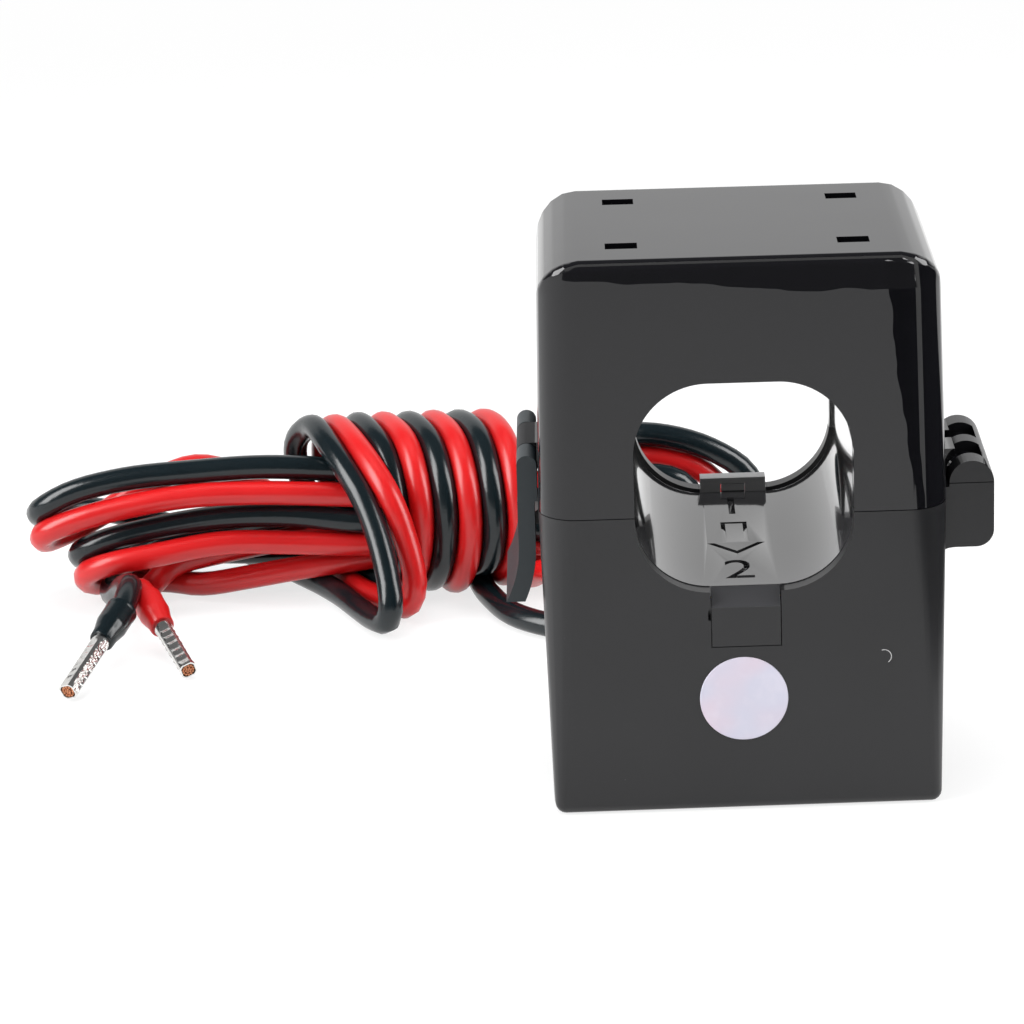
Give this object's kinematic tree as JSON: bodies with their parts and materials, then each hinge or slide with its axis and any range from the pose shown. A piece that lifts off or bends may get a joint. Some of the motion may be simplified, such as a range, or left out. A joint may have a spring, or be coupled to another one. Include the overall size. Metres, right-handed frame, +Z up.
{
  "type": "split-core current transformer",
  "caption": "Hinged split-core current transformer with a rounded conductor window, a swinging latch and red and black secondary leads tied in a hank.",
  "frame": {"origin": "centre of the flat base", "axes": "+X to the right towards the hinge, +Y away from the front and towards the lead exits, +Z up through the hinged upper half"},
  "size_m": [0.1162, 0.0892, 0.0639],
  "materials": {
    "lower_shell": "satin black moulded plastic",
    "upper_shell": "glossy black moulded plastic",
    "liner": "shiny dark grey moulded plastic",
    "latch": "satin slate black plastic",
    "core": "wound silicon steel with ground pole faces",
    "bobbin": "natural nylon",
    "coil": "enamelled copper wire",
    "tape": "yellow polyester tape",
    "pin_steel": "bright drawn steel",
    "spring_steel": "spring steel strip",
    "label": "pearly white label with a faint rainbow sheen",
    "red_pvc": "soft red insulation",
    "black_pvc": "soft black insulation",
    "hank_pvc": "red and black insulation",
    "tinned": "tinned copper",
    "copper": "bare copper strands"
  },
  "bodies": {
    "lower_half": {"lower_housing": "lower_shell", "lower_liner": "liner", "lower_core": "core", "bobbin": "bobbin", "secondary_winding": "coil", "winding_tape": "tape", "hinge_pin": "pin_steel", "round_label": "label", "red_splice": "red_pvc", "black_splice": "black_pvc", "red_lead_run": "red_pvc", "black_lead_run": "black_pvc", "lead_hank": "hank_pvc", "red_lead_end": "red_pvc", "black_lead_end": "black_pvc", "red_collar": "red_pvc", "black_collar": "black_pvc", "red_ferrule": "tinned", "black_ferrule": "tinned", "red_strands": "copper", "black_strands": "copper"},
    "upper_half": {"upper_housing": "upper_shell", "upper_liner": "liner", "upper_core": "core", "core_spring": "spring_steel", "latch_pin": "pin_steel"},
    "latch": {"latch_lever": "latch"}
  },
  "joints": [
    {"name": "lid_hinge", "type": "hinge", "parent": "lower_half", "child": "upper_half", "pos_m": [0.0257, 0, 0.0353], "axis": [0, 1, 0], "range_deg": [0, 95]},
    {"name": "latch_swing", "type": "hinge", "parent": "upper_half", "child": "latch", "pos_m": [-0.0237, 0, 0.0389], "axis": [0, 1, 0], "range_deg": [0, 35]}
  ]
}
